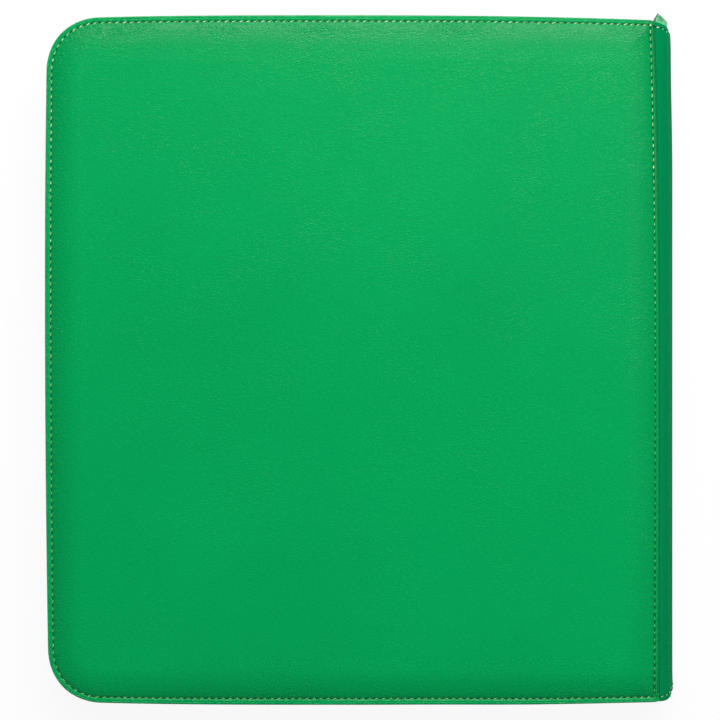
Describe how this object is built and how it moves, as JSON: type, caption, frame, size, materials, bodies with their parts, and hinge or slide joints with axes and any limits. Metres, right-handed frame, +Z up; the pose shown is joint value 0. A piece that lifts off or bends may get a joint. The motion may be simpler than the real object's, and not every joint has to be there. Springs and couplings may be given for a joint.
{
  "type": "stamp album",
  "caption": "Zip-round stamp album with padded leatherette covers, a rounded spine and black stock leaves, lying shut on its front cover.",
  "frame": {"origin": "middle of the flat outer face of the front cover, which the album lies on", "axes": "+X from the fore edge to the spine, +Y along the spine to the end with the zip pull, +Z up through the thickness"},
  "size_m": [0.3391, 0.3759, 0.048],
  "materials": {
    "green_leatherette": "satin, fine pebbled grain",
    "spine_leatherette": "satin, fine pebbled grain",
    "foam": "matte open-cell foam",
    "grey_board": "matte pressed board",
    "black_lining": "matte woven lining",
    "green_gusset": "satin",
    "green_tape": "matte woven tape",
    "green_teeth": "moulded gloss",
    "black_bar": "matte extruded plastic",
    "black_card": "smooth matte card",
    "clear_film": "clear glossy film",
    "green_enamel": "gloss enamel",
    "pull_enamel": "gloss enamel"
  },
  "bodies": {
    "front_cover": {"front_skin": "green_leatherette", "front_foam": "foam", "front_board": "grey_board", "front_lining": "black_lining", "front_gusset": "green_gusset", "front_zip_tape": "green_tape", "front_zip_teeth": "green_teeth"},
    "spine": {"spine_skin": "spine_leatherette", "spine_board": "grey_board", "spine_lining": "black_lining", "binding_bar": "black_bar", "front_fold_welt": "spine_leatherette", "back_fold_welt": "spine_leatherette"},
    "back_cover": {"back_skin": "green_leatherette", "back_foam": "foam", "back_board": "grey_board", "back_lining": "black_lining", "back_gusset": "green_gusset", "back_zip_tape": "green_tape", "back_zip_teeth": "green_teeth"},
    "leaf_body_01": {"leaf_01": "black_card", "strips_01": "clear_film"},
    "leaf_body_02": {"leaf_02": "black_card", "strips_02": "clear_film"},
    "leaf_body_03": {"leaf_03": "black_card", "strips_03": "clear_film"},
    "leaf_body_04": {"leaf_04": "black_card", "strips_04": "clear_film"},
    "leaf_body_05": {"leaf_05": "black_card", "strips_05": "clear_film"},
    "leaf_body_06": {"leaf_06": "black_card", "strips_06": "clear_film"},
    "leaf_body_07": {"leaf_07": "black_card", "strips_07": "clear_film"},
    "leaf_body_08": {"leaf_08": "black_card", "strips_08": "clear_film"},
    "leaf_body_09": {"leaf_09": "black_card", "strips_09": "clear_film"},
    "leaf_body_10": {"leaf_10": "black_card", "strips_10": "clear_film"},
    "slider": {"zip_slider": "green_enamel", "slider_bridge": "green_enamel"},
    "pull": {"zip_pull": "pull_enamel"}
  },
  "joints": [
    {"name": "spine_fold", "type": "hinge", "parent": "front_cover", "child": "spine", "pos_m": [0.16675, 0, 0.0068], "axis": [0, 1, 0], "range_deg": [0, 90]},
    {"name": "cover_fold", "type": "hinge", "parent": "spine", "child": "back_cover", "pos_m": [0.16675, 0, 0.0412], "axis": [0, 1, 0], "range_deg": [0, 90]},
    {"name": "leaf_turn_01", "type": "hinge", "parent": "spine", "child": "leaf_body_01", "pos_m": [0.15825, 0, 0.0105], "axis": [0, 1, 0], "range_deg": [-82, 0]},
    {"name": "leaf_turn_02", "type": "hinge", "parent": "spine", "child": "leaf_body_02", "pos_m": [0.15825, 0, 0.0135], "axis": [0, 1, 0], "range_deg": [-64, 0]},
    {"name": "leaf_turn_03", "type": "hinge", "parent": "spine", "child": "leaf_body_03", "pos_m": [0.15825, 0, 0.0165], "axis": [0, 1, 0], "range_deg": [-46, 0]},
    {"name": "leaf_turn_04", "type": "hinge", "parent": "spine", "child": "leaf_body_04", "pos_m": [0.15825, 0, 0.0195], "axis": [0, 1, 0], "range_deg": [-28, 0]},
    {"name": "leaf_turn_05", "type": "hinge", "parent": "spine", "child": "leaf_body_05", "pos_m": [0.15825, 0, 0.0225], "axis": [0, 1, 0], "range_deg": [-10, 0]},
    {"name": "leaf_turn_06", "type": "hinge", "parent": "spine", "child": "leaf_body_06", "pos_m": [0.15825, 0, 0.0255], "axis": [0, 1, 0], "range_deg": [0, 10]},
    {"name": "leaf_turn_07", "type": "hinge", "parent": "spine", "child": "leaf_body_07", "pos_m": [0.15825, 0, 0.0285], "axis": [0, 1, 0], "range_deg": [0, 28]},
    {"name": "leaf_turn_08", "type": "hinge", "parent": "spine", "child": "leaf_body_08", "pos_m": [0.15825, 0, 0.0315], "axis": [0, 1, 0], "range_deg": [0, 46]},
    {"name": "leaf_turn_09", "type": "hinge", "parent": "spine", "child": "leaf_body_09", "pos_m": [0.15825, 0, 0.0345], "axis": [0, 1, 0], "range_deg": [0, 64]},
    {"name": "leaf_turn_10", "type": "hinge", "parent": "spine", "child": "leaf_body_10", "pos_m": [0.15825, 0, 0.0375], "axis": [0, 1, 0], "range_deg": [0, 82]},
    {"name": "zip_slide", "type": "slide", "parent": "front_cover", "child": "slider", "axis": [-1, 0, 0], "range_m": [0, 0.29]},
    {"name": "pull_swing", "type": "hinge", "parent": "slider", "child": "pull", "pos_m": [0.16735, 0.18175, 0.024], "axis": [1, 0, 0], "range_deg": [-20, 135]}
  ],
  "couplings": [
    {"joint": "cover_fold", "follows": "spine_fold", "ratio": 1},
    {"joint": "leaf_turn_01", "follows": "spine_fold", "ratio": -0.9},
    {"joint": "leaf_turn_02", "follows": "spine_fold", "ratio": -0.7},
    {"joint": "leaf_turn_03", "follows": "spine_fold", "ratio": -0.5},
    {"joint": "leaf_turn_04", "follows": "spine_fold", "ratio": -0.3},
    {"joint": "leaf_turn_05", "follows": "spine_fold", "ratio": -0.1},
    {"joint": "leaf_turn_06", "follows": "spine_fold", "ratio": 0.1},
    {"joint": "leaf_turn_07", "follows": "spine_fold", "ratio": 0.3},
    {"joint": "leaf_turn_08", "follows": "spine_fold", "ratio": 0.5},
    {"joint": "leaf_turn_09", "follows": "spine_fold", "ratio": 0.7},
    {"joint": "leaf_turn_10", "follows": "spine_fold", "ratio": 0.9}
  ]
}
